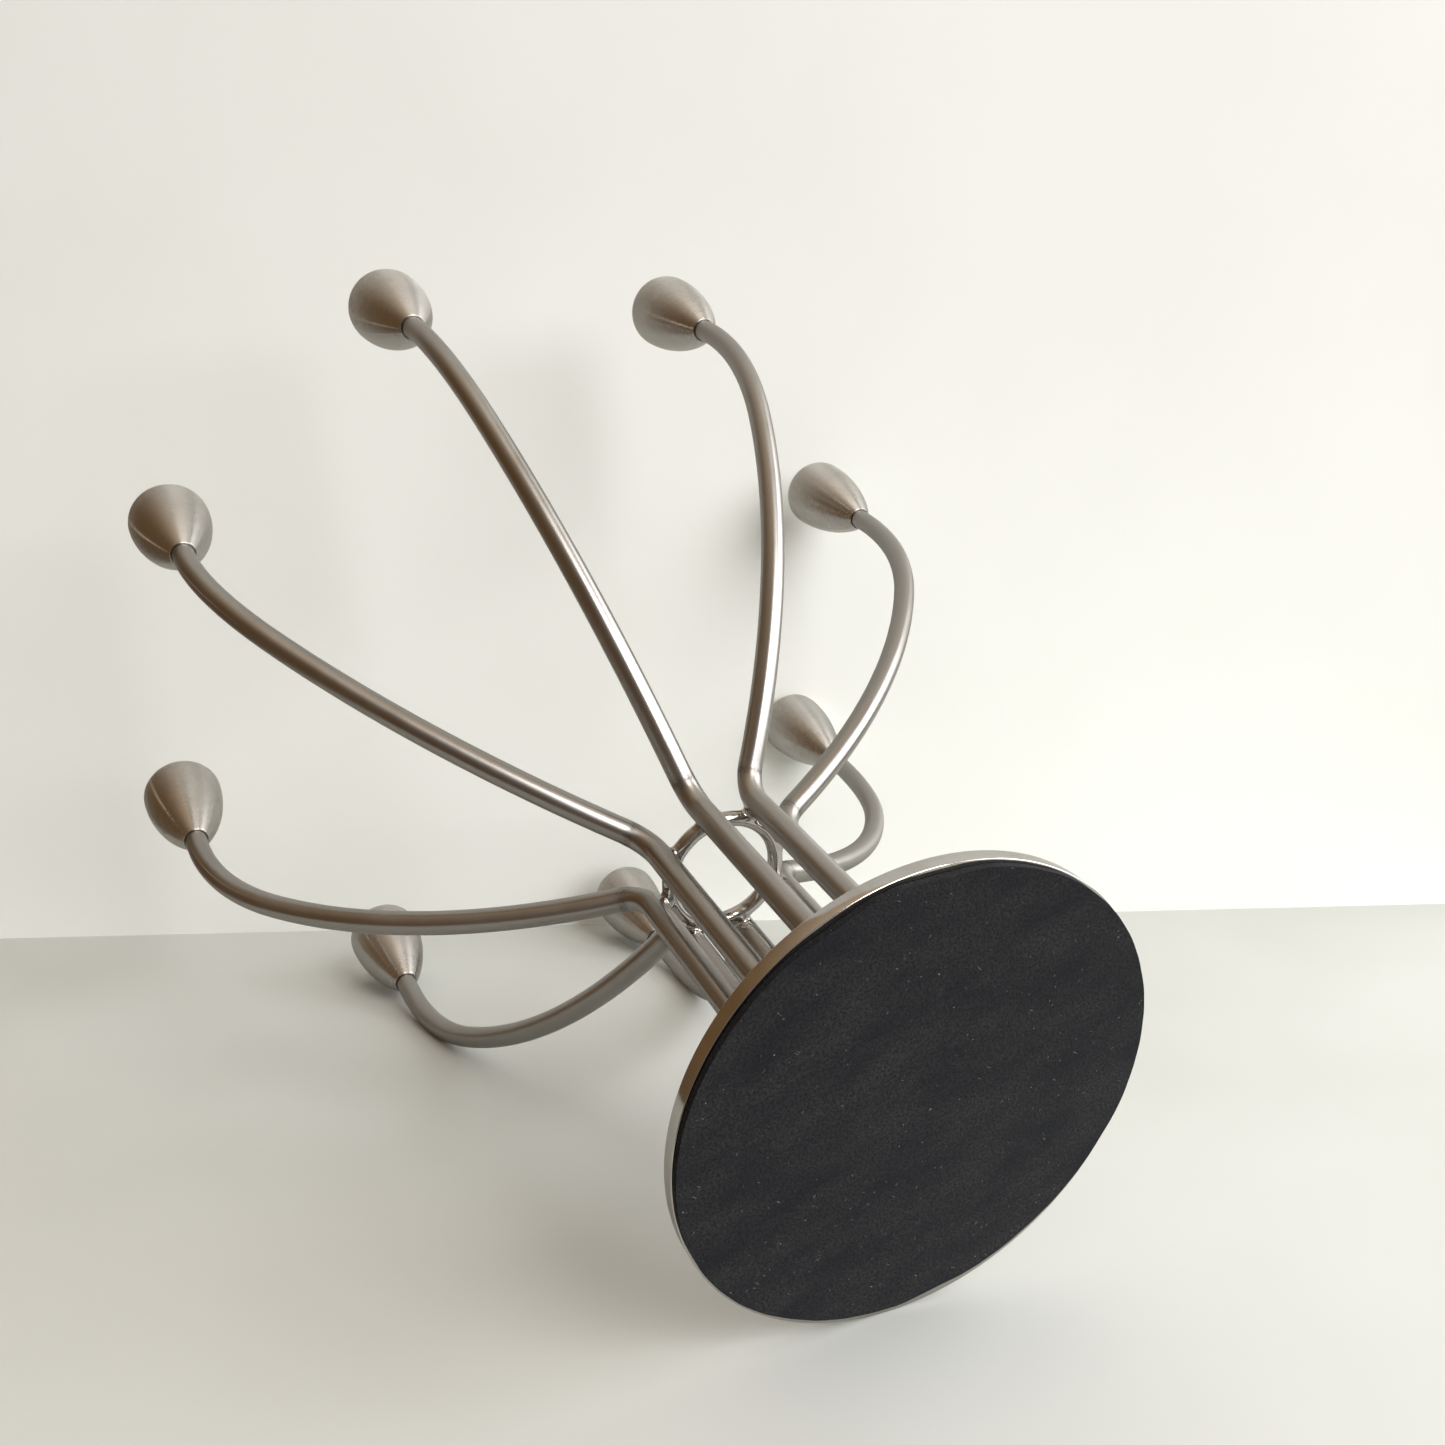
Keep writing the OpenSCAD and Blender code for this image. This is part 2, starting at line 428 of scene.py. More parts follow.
def steel_colour(tree, marks, tone, warmth, brushing):
    """The steel's colour: cloudy, darker in its lines, grit, rub marks and painted shade, and
    lighter where worn.
    """
    body = grey(tone, warmth)
    dull = grey(tone * CLOUD_TONE, warmth * CLOUD_WARMTH)
    body = mix(tree, spread(tree, marks["clouds"], 0.0, 1.0), dull, body)
    lined = spread(tree, marks["lines"], 0.0, LINE_SHOWS * brushing)
    body = mix(tree, lined, body, grey(tone * LINE_TONE, warmth))
    gritty = spread(tree, marks["grit"], 0.0, GRIT_SHOWS)
    body = mix(tree, gritty, body, grey(tone * GRIT_TONE, warmth))
    bright = grey(min(1.0, tone * WORN_TONE), warmth * WORN_WARMTH)
    body = mix(tree, marks["worn"], body, bright)
    dark = calc(tree, "MULTIPLY", marks["rubbed"], RUB_AND_SHADE_SHOWS)
    return mix(tree, dark, body, grey(tone * RUB_AND_SHADE_TONE, warmth * RUB_AND_SHADE_WARMTH))


def steel_roughness(tree, marks, roughness, brushing):
    """The steel's roughness: less where worn, more on rub marks and painted shade, and where marked
    "satin".
    """
    matt = sway(tree, marks["lines"], LINE_MATT * brushing, roughness)
    matt = sway(tree, marks["smears"], SMEAR_MATT * roughness, matt)
    matt = sway(tree, marks["clouds"], CLOUD_MATT * roughness, matt)
    polish = calc(tree, "SUBTRACT", 1.0, calc(tree, "MULTIPLY", marks["worn"], WORN_POLISH))
    matt = calc(tree, "MULTIPLY", matt, polish)
    matt = calc(tree, "MULTIPLY_ADD", marks["rubbed"], RUB_AND_SHADE_MATT, matt)
    return calc(tree, "MULTIPLY_ADD", marked(tree, "satin"), SATIN_MATT, matt)


def steel(name, tone, warmth, roughness, brushing, anisotropy=0.0, rim=0.8):
    """Stainless steel with brush lines. Where it is anisotropic, "stretch" runs across them."""
    material, tree, output = new_material(name)
    marks = steel_marks(tree)
    relief = {
        "Height": marks["lines"],
        "Strength": LINE_STRENGTH * brushing,
        "Distance": LINE_DEPTH,
    }
    shader = add(tree, "ShaderNodeBsdfPrincipled", {
        "Base Color": steel_colour(tree, marks, tone, warmth, brushing),
        "Metallic": 1.0,
        "Roughness": steel_roughness(tree, marks, roughness, brushing),
        "Anisotropic": anisotropy,
        "Specular Tint": grey(rim, RIM_WARMTH),
        "Normal": add(tree, "ShaderNodeBump", relief).outputs[0],
    })
    if anisotropy:
        stretch = add(tree, "ShaderNodeAttribute", attribute_name="stretch").outputs["Vector"]
        tree.links.new(stretch, shader.inputs["Tangent"])
    tree.links.new(shader.outputs[0], output.inputs[0])
    return material


# Fibres curl by this much and this often, and lie about this many of their own lengths and
# widths apart. From its middle, a fibre is full up to the core and fades out at the edge.
CURL = 0.9 * MM
CURLS_PER_METRE = 700.0
FIBRE_PITCH = 5
FIBRE_CORE = 0.05
FIBRE_EDGE = 0.10


def fibres(tree, place, angle, length, width, amount):
    """Short curled fibres lying about one direction, as a mask from 0 to 1."""
    curl = {"Vector": place, "Scale": CURLS_PER_METRE, "Detail": 1.0}
    bend = add(tree, "ShaderNodeTexNoise", curl).outputs["Color"]
    moved = {0: bend, 1: (CURL,) * 3, 2: place}
    bent = add(tree, "ShaderNodeVectorMath", moved, operation="MULTIPLY_ADD").outputs[0]
    turn = {"Vector": bent, "Angle": angle}
    lying = add(tree, "ShaderNodeVectorRotate", turn, rotation_type="Z_AXIS").outputs[0]
    scale = (1 / length, 1 / width, 1 / width)
    cells = add(tree, "ShaderNodeVectorMath", {0: lying, 1: scale}, operation="MULTIPLY").outputs[0]
    sown = {"Vector": cells, "Scale": 1 / FIBRE_PITCH, "Randomness": 1.0}
    found = add(tree, "ShaderNodeTexVoronoi", sown)
    near = spread(tree, found.outputs["Distance"], 1.0, 0.0, start=FIBRE_CORE, end=FIBRE_EDGE)
    chosen = add(tree, "ShaderNodeSeparateColor", {0: found.outputs["Color"]}).outputs[0]
    return calc(tree, "MULTIPLY", near, calc(tree, "LESS_THAN", chosen, amount))


# The foam's cells, soft patches and dust, in cycles per metre.
FOAM_CELLS = (1300.0,) * 3
FOAM_PATCHES = (75.0, 34.0, 50.0)
FOAM_DUST = (260.0,) * 3

# Its colours, and how strongly the painted shade in the cells, the dust and the lint show.
FOAM_DARK = (0.0105, 0.0118, 0.0158, 1)
FOAM_LIGHT = (0.028, 0.029, 0.0308, 1)
CELL_SHADE = (0.0035, 0.0037, 0.0043, 1)
CELL_SHADE_SHOWS = 0.85
DUST = (0.15, 0.148, 0.142, 1)
DUST_SHOWS = 0.20
LINT = (0.41, 0.41, 0.40, 1)
LINT_SHOWS = 0.8
FIBRES_SHOW = 0.6
LINT_RELIEF = 0.5
FOAM_RELIEF = 0.15 * MM


def caught_lint(tree, place):
    """Where lint lies on the foam: long and short fibres, which are fainter, and specks."""
    long_ones = fibres(tree, place, angle=0.6, length=2.4 * MM, width=0.16 * MM, amount=0.14)
    short_ones = fibres(tree, place, angle=2.3, length=1.5 * MM, width=0.15 * MM, amount=0.14)
    specks = fibres(tree, place, angle=1.4, length=0.34 * MM, width=0.34 * MM, amount=0.06)
    faint = calc(tree, "MULTIPLY", calc(tree, "MAXIMUM", long_ones, short_ones), FIBRES_SHOW)
    return calc(tree, "MAXIMUM", faint, specks)


def foam(name):
    """Charcoal foam rubber: open fine cells painted darker as shade in their pores, soft darker
    patches, and lint caught on it.
    """
    material, tree, output = new_material(name)
    place = add(tree, "ShaderNodeNewGeometry").outputs["Position"]
    cells = noise(tree, place, FOAM_CELLS, detail=3.0, roughness=0.7)
    patches = noise(tree, place, FOAM_PATCHES, detail=4.0, roughness=0.6)
    dust = noise(tree, place, FOAM_DUST, detail=5.0, roughness=0.8)
    lint = caught_lint(tree, place)
    body = mix(tree, spread(tree, patches, 0.0, 1.0), FOAM_DARK, FOAM_LIGHT)
    # Painted shade in the foam's open cells.
    pore_shade = spread(tree, cells, 0.0, CELL_SHADE_SHOWS, start=0.38, end=0.62)
    body = mix(tree, pore_shade, body, CELL_SHADE)
    dusty = spread(tree, dust, 0.0, DUST_SHOWS, start=0.60, end=0.80)
    body = mix(tree, dusty, body, DUST)
    body = mix(tree, calc(tree, "MULTIPLY", lint, LINT_SHOWS), body, LINT)
    relief = {
        "Height": calc(tree, "MULTIPLY_ADD", lint, LINT_RELIEF, cells),
        "Strength": 0.8,
        "Distance": FOAM_RELIEF,
    }
    shader = add(tree, "ShaderNodeBsdfPrincipled", {
        "Base Color": body,
        "Roughness": spread(tree, patches, 0.78, 0.92),
        "Specular IOR Level": 0.15,
        "Sheen Weight": 0.03,
        "Sheen Roughness": 0.5,
        "Normal": add(tree, "ShaderNodeBump", relief).outputs[0],
    })
    tree.links.new(shader.outputs[0], output.inputs[0])
    return material


# What the steel mirrors of the stage is dimmed: fully on the left, less and less from the tree's
# middle on, and not at all beyond this distance to the right.
DIMMED_UNTIL = 0.3


def plaster(name, low, high, per_metre, dimming):
    """A matt surface for the stage, seen from its front only and dimmer in the steel."""
    material, tree, output = new_material(name)
    geometry = add(tree, "ShaderNodeNewGeometry")
    place = geometry.outputs["Position"]
    clouds = noise(tree, place, (per_metre,) * 3, detail=2.0, roughness=0.5)
    body = mix(tree, spread(tree, clouds, 0.0, 1.0), low, high)
    mirrored = add(tree, "ShaderNodeLightPath").outputs["Is Glossy Ray"]
    beside = along_axis(tree, place, RIGHT)
    fading = spread(tree, beside, dimming, 0.0, start=0.0, end=DIMMED_UNTIL)
    body = mix(tree, calc(tree, "MULTIPLY", mirrored, fading), body, BLACK)
    front = add(tree, "ShaderNodeBsdfPrincipled", {"Base Color": body, "Roughness": 0.85})
    behind = add(tree, "ShaderNodeBsdfTransparent")
    sides = {0: geometry.outputs["Backfacing"], 1: front.outputs[0], 2: behind.outputs[0]}
    both = add(tree, "ShaderNodeMixShader", sides)
    tree.links.new(both.outputs[0], output.inputs[0])
    return material


# ---------------------------------------------------------------- arms
def arm_stations():
    """Distance along the rod, radius, height and lean of its centreline, from plate to knob."""
    stretches = (
        (STRAIGHT_H, 0.0, STRAIGHT_STEPS),
        (BEND_LEN, 1 / BEND_R, BEND_STEPS),
        (SWEEP_LEN, -1 / SWEEP_R, SWEEP_STEPS),
        (CROOK_R * CROOK_ANGLE, -1 / CROOK_R, CROOK_STEPS),
        (TIP_LEN, 0.0, TIP_STEPS),
    )
    stations = []
    done, radius, height, lean = 0.0, ROD_CIRCLE_R, PLATE_HIGH.z, 0.0
    for length, curve, steps in stretches:
        for step in range(steps + 1):
            part = length * step / steps
            now = lean + curve * part
            if curve:
                out = (math.cos(lean) - math.cos(now)) / curve
                rise = (math.sin(now) - math.sin(lean)) / curve
            else:
                out, rise = part * math.sin(lean), part * math.cos(lean)
            if step or not stations:
                stations.append((done + part, radius + out, height + rise, now))
        done, radius, height, lean = done + length, radius + out, height + rise, now
    return np.array(stations)


def build_arms(material):
    """Eight rods, a little flattened by the tight bend and chamfered at the foot."""
    stations = arm_stations()
    chamfer_end = stations[0] + np.array([FOOT_CHAMFER, 0.0, FOOT_CHAMFER, 0.0])
    stations = np.insert(stations, 1, chamfer_end, axis=0)
    run, radius, height, lean = np.repeat(stations, ROD_SEGMENTS, axis=0).T
    turn = np.tile(turns(ROD_SEGMENTS), len(stations))
    squeeze = hump(run - BEND_MIDDLE, BEND_SPREAD * BEND_LEN)
    cut_back = np.where(run == 0, FOOT_CHAMFER, 0.0)
    out = (ROD_R * (1 - BEND_THINNING * squeeze) - cut_back) * np.cos(turn)
    beside = (ROD_R * (1 + BEND_WIDENING * squeeze) - cut_back) * np.sin(turn)
    verts = np.stack([radius + out * np.cos(lean), beside, height - out * np.sin(lean)], -1)
    grain = np.stack([ROD_R * np.cos(turn), ROD_R * np.sin(turn), run], -1)
    stretch = np.stack([np.sin(lean), np.zeros_like(lean), np.cos(lean)], -1)
    edge = run < 2 * FOOT_CHAMFER
    tool_mark = hump(run - TOOL_MARK_RUN, TOOL_MARK_SPREAD)
    faces = ring_faces(len(stations), ROD_SEGMENTS) + end_caps(len(verts), ROD_SEGMENTS)
    for index in range(1, ARM_COUNT + 1):
        make_piece(
            f"rod_{index}", turned(verts, index), faces, material, "rod_steel", [f"arm_{index}"],
            grain=grain + np.array([0.0, 0.0, ROD_GRAIN_STEP * index]),
            stretch=turned(stretch, index), edge=edge, scuff=tool_mark,
        )


# ---------------------------------------------------------------- knobs
def knob_outline():
    """Radius and height of the turned knob, from the bottom of its seat round to its crown."""
    rise = KNOB_R - NECK_R
    flank_r = (FLANK_H ** 2 + rise ** 2) / (2 * rise)
    flank_centre = (KNOB_R - flank_r, FLANK_H)
    flank_start = -math.asin((FLANK_H - 2 * LIP_EDGE_R) / flank_r)
    shoulder_centre = (KNOB_R - SHOULDER_R, FLANK_H)
    dome_h = KNOB_H - FLANK_H
    inner = shoulder_centre[0]
    dome_r = (inner ** 2 + dome_h ** 2 - SHOULDER_R ** 2) / (2 * (dome_h - SHOULDER_R))
    dome_centre = (0.0, KNOB_H - dome_r)
    join = math.atan2(FLANK_H - dome_centre[1], inner)
    seat_lip = (SEAT_R + LIP_EDGE_R, LIP_EDGE_R)
    neck_lip = (NECK_R - LIP_EDGE_R, LIP_EDGE_R)
    outline = [(AXIS_R, SEAT_DEPTH), (SEAT_R, SEAT_DEPTH), (SEAT_R, LIP_EDGE_R)]
    outline += arc_points(seat_lip, LIP_EDGE_R, 2 * QUARTER, 3 * QUARTER, LIP_STEPS)[1:]
    outline += arc_points(neck_lip, LIP_EDGE_R, 3 * QUARTER, 4 * QUARTER, LIP_STEPS)
    outline += arc_points(flank_centre, flank_r, flank_start, 0.0, FLANK_STEPS)
    outline += arc_points(shoulder_centre, SHOULDER_R, 0.0, join, SHOULDER_STEPS)[1:]
    outline += arc_points(dome_centre, dome_r, join, QUARTER - CROWN_GAP, DOME_STEPS)[1:]
    return outline


def build_knobs(material):
    """Eight turned knobs, one on the tip of each rod."""
    tip = (arm_stations()[-1][1], 0.0, KNOB_Z)
    verts, faces, grain, stretch = lathe(knob_outline(), KNOB_SEGMENTS, tip)
    past_seat = grain[:, 2] - SEAT_R - SEAT_DEPTH
    # Painted shade in the corner of the seat, round the rod.
    seat_shade = hump(past_seat, SEAT_SHADE_SPREAD)
    edge = LIP_WEAR * hump(past_seat - NECK_R + SEAT_R, LIP_WEAR_SPREAD)
    for index in range(1, ARM_COUNT + 1):
        make_piece(
            f"turned_knob_{index}", turned(verts, index), faces, material, "knob_steel",
            [f"knob_{index}"], grain=grain + np.array([0.0, 0.0, KNOB_GRAIN_STEP * index]),
            stretch=turned(stretch, index), edge=edge, scuff=seat_shade,
        )


# ---------------------------------------------------------------- base
def plate_outline():
    """Radius and height of the plate, with rounded rims and a hair of flat beside each."""
    low, high = PLATE_LOW.z, PLATE_HIGH.z
    inner = PLATE_R - PLATE_EDGE_R
    flat_start = inner - RIM_FLAT
    low_rim = (inner, low + PLATE_EDGE_R)
    high_rim = (inner, high - PLATE_EDGE_R)
    outline = [(AXIS_R, low), (flat_start, low)]
    outline += arc_points(low_rim, PLATE_EDGE_R, -QUARTER, 0.0, PLATE_RIM_STEPS)
    outline += arc_points(high_rim, PLATE_EDGE_R, 0.0, QUARTER, PLATE_RIM_STEPS)
    outline += [(flat_start, high), (AXIS_R, high)]
    return outline


def cut_screw_holes(plate):
    """Drills and countersinks the plate under every rod, with one boolean cut."""
    low, high = PLATE_LOW.z, PLATE_HIGH.z
    outline = [
        (SINK_R, low - CUT_OVER),
        (SINK_R, low),
        (HOLE_R, low + SINK_H),
        (HOLE_R, high + CUT_OVER),
    ]
    verts, faces, _, _ = lathe(outline, HOLE_SEGMENTS, (ROD_CIRCLE_R, 0.0, 0.0))
    points, polygons = copied_round(verts, faces)
    cutter = bpy.data.meshes.new("cutter")
    cutter.from_pydata(points, [], polygons)
    tool = bpy.data.objects.new("cutter", cutter)
    bpy.context.scene.collection.objects.link(tool)
    drill = plate.modifiers.new("drill", "BOOLEAN")
    drill.operation = "DIFFERENCE"
    drill.solver = "EXACT"
    drill.object = tool
    graph = bpy.context.evaluated_depsgraph_get()
    drilled = bpy.data.meshes.new_from_object(plate.evaluated_get(graph))
    plate.modifiers.clear()
    plate.data = drilled
    drilled.set_sharp_from_angle(angle=SHARP_ANGLE)
    bpy.data.objects.remove(tool)


def build_plate(material):
    """The round steel plate. Its points are marked by position, once the holes are cut."""
    verts, faces, _, _ = lathe(plate_outline(), PLATE_SEGMENTS)
    plate = make_piece("plate", verts, faces, material, "plate_steel", ["base_plate"])
    cut_screw_holes(plate)
    x, y, z = np.array([v.co for v in plate.data.vertices]).T
    radius = np.hypot(x, y)
    near_rim = radius > PLATE_R - RIM_BAND
    near_face = np.minimum(z - PLATE_LOW.z, PLATE_HIGH.z - z) < RIM_BAND
    on_top = (z > PLATE_HIGH.z - FACE_BAND) & ~near_rim
    mark_points(
        plate.data, grain=np.stack([x, y, z - radius], -1), edge=near_rim & near_face, satin=on_top,
    )


def pad_radius(theta):
    """Outline of the hand-cut pad about the plate's centre."""
    outline = PAD_R + PAD_SHIFT * np.cos(theta) - PAD_OVAL * np.cos(2 * theta)
    for middle, reach in PAD_SNIPS:
        swing = np.cos(theta - math.radians(middle))
        cut = reach * MM / np.maximum(swing, SNIP_LIMIT)
        cut = np.where(swing > SNIP_LIMIT, cut, OUT_OF_REACH)
        outline = smooth_union(outline, cut, SNIP_BLEND)
    return outline


def pad_face(rim, theta):
    """Radius and height of the rings of points on the pad's face, which is not quite flat."""
    layers = []
    for share in np.sin(np.linspace(0.0, QUARTER, PAD_RINGS + 1))[1:-1]:
        x, y = rim * share * np.cos(theta), rim * share * np.sin(theta)
        waves = 1 + sum(0.5 * np.sin(a * x + b * y + start) for a, b, start in RIPPLES)
        lift = FACE_RIPPLE * waves * (1 - share ** RIPPLE_FADE)
        layers.append((rim * share, PAD_LOW.z + FACE_LIFT + lift))
    return layers


def pad_edge(rim, theta):
    """Radius and height of the rings of points up the pad's cut edge, with its slight burr."""
    burr = BURR_LIFT * (1 + np.sin(BURR_WAVES * theta))
    layers = []
    for outside, above, lifted in EDGE_ABOVE_FACE:
        layers.append((rim + outside * MM, PAD_LOW.z + above * MM + lifted * burr))
    for outside, below in EDGE_BELOW_PLATE:
        layers.append((rim + outside * MM, np.full_like(theta, PAD_HIGH.z - below * MM)))
    return layers


def build_pad(material):
    """The foam pad under the plate, cut by hand with a knife."""
    theta = turns(PAD_SEGMENTS)
    wobble = WOBBLE * np.sin(WOBBLE_WAVES * theta + WOBBLE_START) * np.sin(WOBBLE_BEATS * theta)
    rim = pad_radius(theta) - PAD_MARGIN + wobble + TREMOR * np.sin(TREMOR_WAVES * theta)
    layers = pad_face(rim, theta) + pad_edge(rim, theta)
    verts = []
    for radius, height in layers:
        verts += list(zip(radius * np.cos(theta), radius * np.sin(theta), height))
    faces = ring_faces(len(layers), PAD_SEGMENTS) + end_caps(len(verts), PAD_SEGMENTS)
    pad = make_piece("foam_pad", verts, faces, material, "foam", ["base_pad"])


# ---------------------------------------------------------------- ring and welds
def build_ring(material):
    """The polished wire ring inside the circle of rods."""
    outline = arc_points((RING_R, RING_Z), WIRE_R, 0.0, math.tau, WIRE_SEGMENTS)[:-1]
    verts, faces, grain, _ = lathe(outline, RING_SEGMENTS, closed=True)
    make_piece(
        "wire_ring", verts, faces, material, "ring_steel", ["support_ring"], grain=grain,
    )


def weld_distance(points):
    """Distance to the skin of the ring, the first rod and the weld fillet between them."""
    x, y, z = np.moveaxis(points, -1, 0)
    ring = np.hypot(np.hypot(x, y) - RING_R, z - RING_Z) - WIRE_R
    upright = np.hypot(x - ROD_CIRCLE_R, y) - ROD_R
    bent = np.hypot(np.hypot(x - ROD_CIRCLE_R - BEND_R, z - BEND_Z) - BEND_R, y) - ROD_R
    rod = np.where(z < BEND_Z, upright, bent)
    return smooth_union(ring, rod, FILLET_BLEND)


def weld_patch():
    """One star-shaped weld: a fine ball whose points are pushed out to the blended skin."""
    ball = bmesh.new()
    bmesh.ops.create_icosphere(ball, subdivisions=WELD_FINENESS, radius=1.0)
    ball.verts.ensure_lookup_table()
    aims = np.array([v.co for v in ball.verts])
    faces = [tuple(v.index for v in face.verts) for face in ball.faces]
    ball.free()
    centre = np.array([RING_R + WIRE_R, 0.0, RING_Z])
    reach = np.linspace(0.0, WELD_REACH, WELD_SAMPLES)
    skin = weld_distance(centre + aims[:, None, :] * reach[None, :, None])
    outside = skin > 0
    first = np.where(outside.any(axis=1), outside.argmax(axis=1), len(reach) - 1)
    rows = np.arange(len(aims))
    before, after = skin[rows, first - 1], skin[rows, first]
    share = np.clip(-before / np.maximum(after - before, LEAST_CLIMB), 0, 1)
    far = reach[first - 1] + share * (reach[1] - reach[0])
    return centre + aims * (far - WELD_SINK)[:, None], faces


def build_welds(material):
    """Eight welds with concave fillets, joined in one piece."""
    verts, faces = copied_round(*weld_patch())
    make_piece(
        "weld_fillets", verts, faces, material, "weld_steel", ["ring_welds"], grain=verts,
    )


# ---------------------------------------------------------------- resting place and camera
# The tilts that are tried for the floor, and how finely.
TILT_LEAST = math.radians(8)
TILT_MOST = math.radians(24)
TILT_COUNT = 16001


def resting_tilt():
    """Angle by which the floor leans, when the tree lies on its plate's rim and on two arms."""
    _, radius, height, _ = arm_stations().T
    between = math.cos(ARM_PITCH / 2)
    tilts = np.linspace(TILT_LEAST, TILT_MOST, TILT_COUNT)
    cos, sin = np.cos(tilts), np.sin(tilts)
    reach = radius * between * cos[:, None] - height * sin[:, None]
    arms = reach.max(axis=1) + ROD_R
    rim = PLATE_R * cos - PLATE_LOW.z * sin
    return float(tilts[np.abs(arms - rim).argmin()])


LOW_SIDE = math.radians(202.5)
CAMERA_HEADING = math.radians(-26.82)
CAMERA_PITCH = math.radians(7.83)
CAMERA_ROLL = math.radians(1.38)
CAMERA_HEIGHT = 238.1 * MM
CAMERA_BACK = 395.5 * MM
CAMERA_LEFT = 26.6 * MM

# The sensor and the lens in mm, the lens's shifts in frame widths, and how near and far it sees.
SENSOR_WIDTH = 36.0
FOCAL_LENGTH = 38.677
SHIFT_ACROSS = -0.0370
SHIFT_UP = -0.0517
NEAREST = 0.01
FARTHEST = 20.0

TILT = resting_tilt()
OUTWARD = Vector((math.cos(LOW_SIDE), math.sin(LOW_SIDE), 0.0))
UP = Vector((0, 0, 1)) * math.sin(TILT) - OUTWARD * math.cos(TILT)
TOUCH = OUTWARD * PLATE_R + Vector((0, 0, PLATE_LOW.z))
LYING = (Vector((0, 0, 1)) - UP * UP.z).normalized()
AHEAD = Matrix.Rotation(CAMERA_HEADING, 3, UP) @ LYING
RIGHT = AHEAD.cross(UP)
EYE = TOUCH - AHEAD * CAMERA_BACK - RIGHT * CAMERA_LEFT + UP * CAMERA_HEIGHT


def in_room(right, ahead, up):
    """A point in the room, measured from the floor under the camera."""
    return EYE + RIGHT * right + AHEAD * ahead + UP * (up - CAMERA_HEIGHT)


def toward(azimuth, elevation):
    """A direction in the room: azimuth 0 is ahead of the camera and 90 is to its right."""
    a, e = math.radians(azimuth), math.radians(elevation)
    return RIGHT * math.sin(a) * math.cos(e) + AHEAD * math.cos(a) * math.cos(e) + UP * math.sin(e)


def placement(place, right, up, back):
    """A matrix that puts an object at a place, with its own X, Y and Z along those directions."""
    return Matrix.Translation(place) @ Matrix((right, up, back)).transposed().to_4x4()


def build_camera():
    """The camera at the height, pitch and roll of a hand-held photograph."""
    lens = bpy.data.cameras.new("camera")
    lens.sensor_width = SENSOR_WIDTH
    lens.lens = FOCAL_LENGTH
    lens.shift_x = SHIFT_ACROSS
    lens.shift_y = SHIFT_UP
    lens.clip_start = NEAREST
    lens.clip_end = FARTHEST
    forward = AHEAD * math.cos(CAMERA_PITCH) - UP * math.sin(CAMERA_PITCH)
    side = Matrix.Rotation(CAMERA_ROLL, 3, forward) @ RIGHT
    camera = bpy.data.objects.new("camera", lens)
    camera.matrix_world = placement(EYE, side, side.cross(forward), -forward)
    bpy.context.scene.collection.objects.link(camera)
    bpy.context.scene.camera = camera


# ---------------------------------------------------------------- stage, lights and world
STAGE_LEFT = -0.43
STAGE_RIGHT = 0.37
TABLE_EDGE = 0.28
WALL_AHEAD = 743 * MM
WALL_TOP = 0.95
FLOOR_COLOURS = ((0.57, 0.59, 0.565, 1), (0.61, 0.63, 0.61, 1))
WALL_COLOURS = ((0.82, 0.84, 0.81, 1), (0.84, 0.86, 0.835, 1))


def build_sheet(name, corners, material):
    """One flat sheet of the stage, between corners given in the room."""
    mesh = bpy.data.meshes.new(name)
    mesh.from_pydata([tuple(in_room(*corner)) for corner in corners], [], [(0, 1, 2, 3)])
    mesh.materials.append(material)
    sheet = bpy.data.objects.new(name, mesh)
    bpy.context.scene.collection.objects.link(sheet)


def build_stage():
    """A plain pale table top and wall. They are see-through from behind, for views from below."""
    near_left, near_right = (STAGE_LEFT, TABLE_EDGE, 0), (STAGE_RIGHT, TABLE_EDGE, 0)
    far_left, far_right = (STAGE_LEFT, WALL_AHEAD, 0), (STAGE_RIGHT, WALL_AHEAD, 0)
    top_left, top_right = (STAGE_LEFT, WALL_AHEAD, WALL_TOP), (STAGE_RIGHT, WALL_AHEAD, WALL_TOP)
    floor = plaster("stage_floor", *FLOOR_COLOURS, per_metre=6.0, dimming=0.32)
    wall = plaster("stage_wall", *WALL_COLOURS, per_metre=8.0, dimming=0.3)
    build_sheet("floor", (near_left, near_right, far_right, far_left), floor)
    build_sheet("wall", (far_left, far_right, top_right, top_left), wall)


def window(name, azimuth, elevation, distance, width, height, radiance, colour):
    """A soft lamp that faces the object from one direction of the room."""
    lamp = bpy.data.lights.new(name, "AREA")
    lamp.shape = "RECTANGLE"
    lamp.size = width
    lamp.size_y = height
    lamp.energy = radiance * math.pi * width * height
    lamp.color = colour
    aim = toward(azimuth, elevation)
    side = UP.cross(aim).normalized()
    placed = bpy.data.objects.new(name, lamp)
    target = Vector((0, 0, RING_Z))
    placed.matrix_world = placement(target + aim * distance, side, aim.cross(side), aim)
    bpy.context.scene.collection.objects.link(placed)


def build_lights():
    """Daylight from a window behind the camera and one on its right, and a glint on the left."""
    window(
        "key_window", azimuth=139, elevation=27, distance=4.0, width=2.08, height=3.0,
        radiance=8.6, colour=(1.0, 0.99, 0.98),
    )
    window(
        "side_window", azimuth=74, elevation=24, distance=4.5, width=7.4, height=3.2,
        radiance=4.4, colour=(0.97, 0.98, 1.0),
    )
    window(
        "far_glint", azimuth=-73.0, elevation=11.0, distance=0.58, width=0.02, height=0.02,
        radiance=6.0, colour=(1.0, 0.92, 0.80),
    )


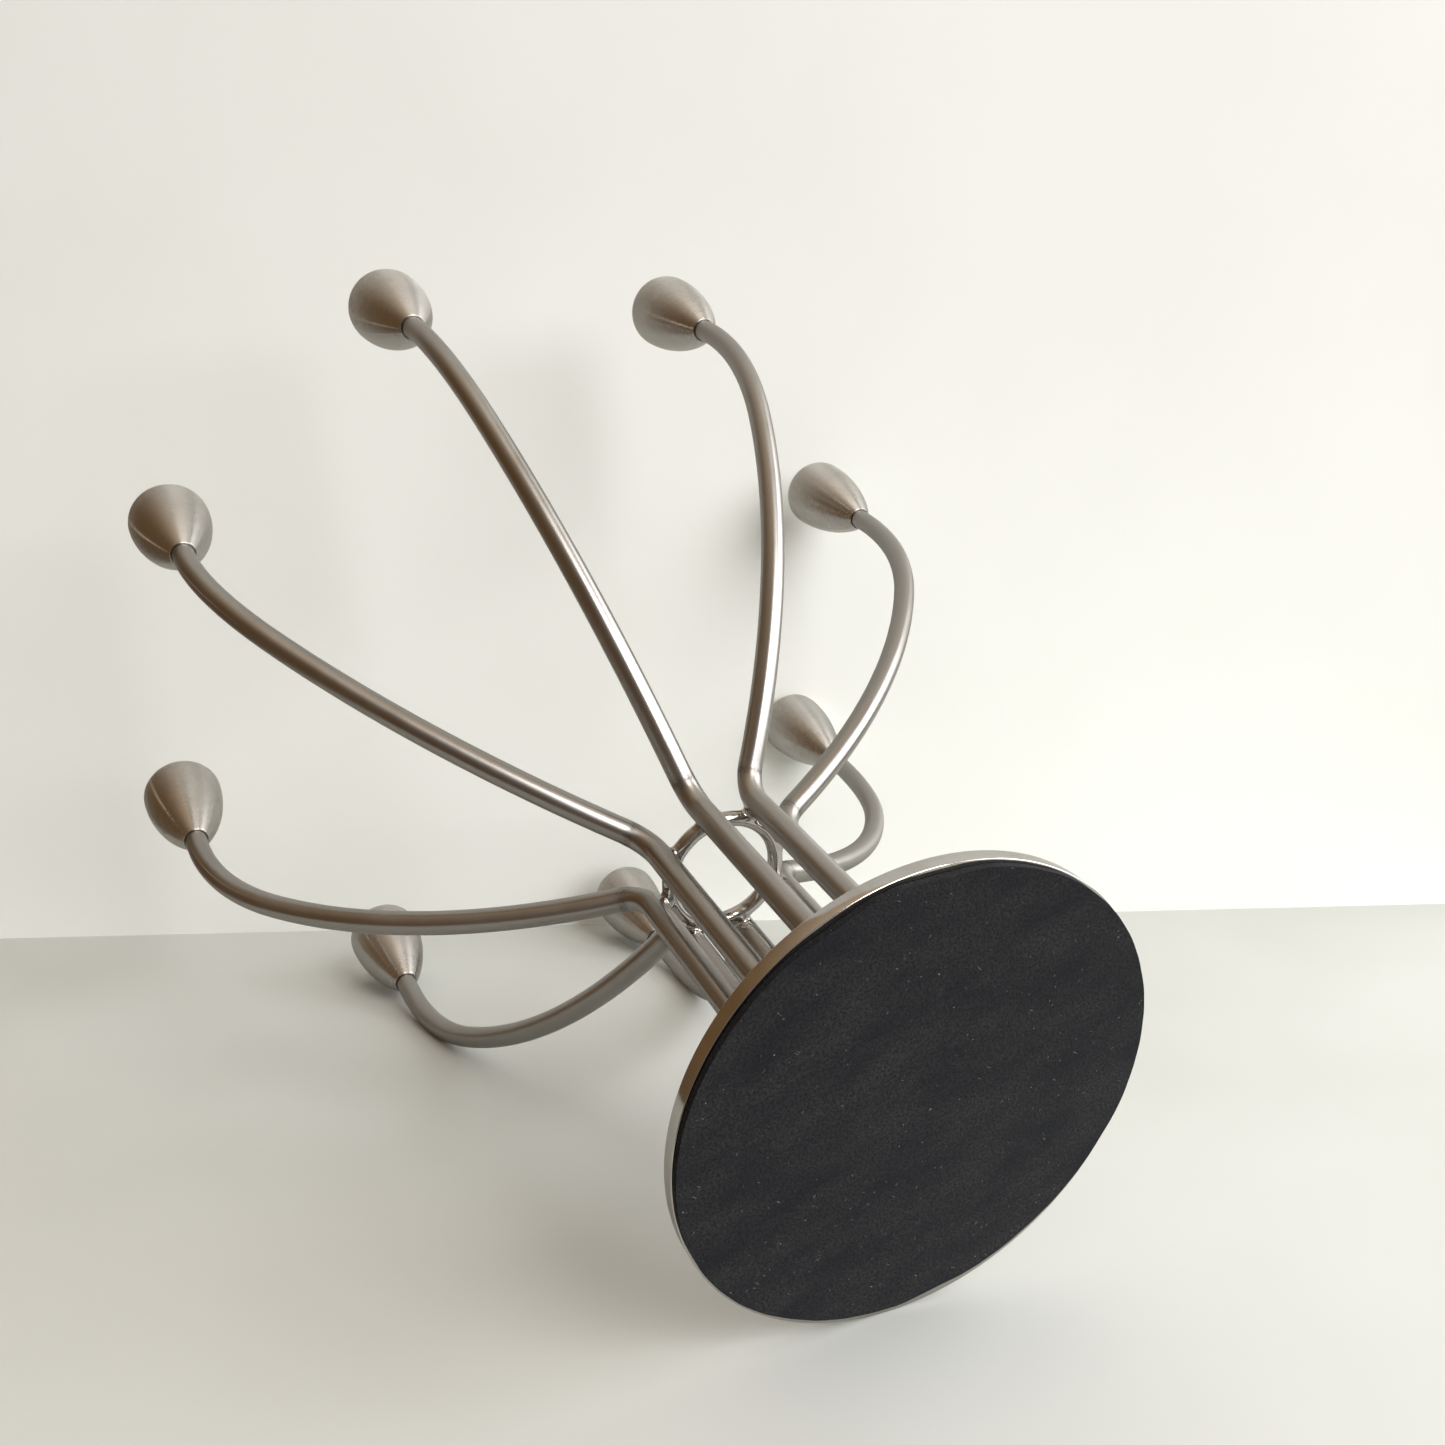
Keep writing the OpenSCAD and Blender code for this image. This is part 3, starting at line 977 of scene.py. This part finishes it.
# The room's colours. A start and an end say where one colour begins and is complete, as cosines
# of the angle from the right, or from the wood. The ceiling comes in with a power of the height.
ROOM_LEFT = (0.130, 0.088, 0.060, 1)
ROOM_RIGHT = (0.33, 0.31, 0.29, 1)
SIDE_START = -0.3
SIDE_END = 0.7
WOOD = (0.165, 0.096, 0.042, 1)
WOOD_AZIMUTH = -99
WOOD_ELEVATION = 26
WOOD_START = 0.55
WOOD_END = 0.88
CEILING = (0.76, 0.60, 0.44, 1)
CEILING_POWER = 4.5
BACKDROP = (0.86, 0.85, 0.82, 1)


def build_world():
    """A dim warm room: brown on the left, wood in one patch, paler on the right and above."""
    world = bpy.data.worlds.new("room")
    world.use_nodes = True
    tree = world.node_tree
    tree.nodes.clear()
    aim = add(tree, "ShaderNodeTexCoord").outputs["Generated"]
    side = spread(tree, along_axis(tree, aim, RIGHT), 0.0, 1.0, start=SIDE_START, end=SIDE_END)
    room = mix(tree, side, ROOM_LEFT, ROOM_RIGHT)
    near_wood = along_axis(tree, aim, toward(WOOD_AZIMUTH, WOOD_ELEVATION))
    wooden = spread(tree, near_wood, 0.0, 1.0, start=WOOD_START, end=WOOD_END)
    room = mix(tree, wooden, room, WOOD)
    rise = calc(tree, "MAXIMUM", along_axis(tree, aim, UP), 0.0)
    room = mix(tree, calc(tree, "POWER", rise, CEILING_POWER), room, CEILING)
    seen = add(tree, "ShaderNodeLightPath").outputs["Is Camera Ray"]
    sky = mix(tree, seen, room, BACKDROP)
    glow = add(tree, "ShaderNodeBackground", {"Color": sky, "Strength": 1.0})
    output = tree.nodes.new("ShaderNodeOutputWorld")
    tree.links.new(glow.outputs[0], output.inputs[0])
    bpy.context.scene.world = world


# ---------------------------------------------------------------- the whole model
build_arms(steel(
    "rod_satin", tone=0.42, warmth=0.04, roughness=0.33, brushing=0.6, anisotropy=0.7,
))
build_knobs(steel(
    "knob_turned", tone=0.56, warmth=0.045, roughness=0.29, brushing=1.0, anisotropy=0.965, rim=1.0,
))
build_plate(steel("plate_polished", tone=0.54, warmth=0.05, roughness=0.13, brushing=0.35))
build_ring(steel("ring_polished", tone=0.56, warmth=0.03, roughness=0.12, brushing=0.25))
build_welds(steel("weld_polished", tone=0.54, warmth=0.03, roughness=0.16, brushing=0.4))
build_pad(foam("foam_rubber"))
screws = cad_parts["base_screws"]
screws.data.materials.clear()
screws.data.materials.append(steel(
    "screw_steel", tone=0.5, warmth=0.0, roughness=0.35, brushing=0.6,
))
build_camera()
build_stage()
build_lights()
build_world()
bpy.context.scene.view_settings.view_transform = "Standard"
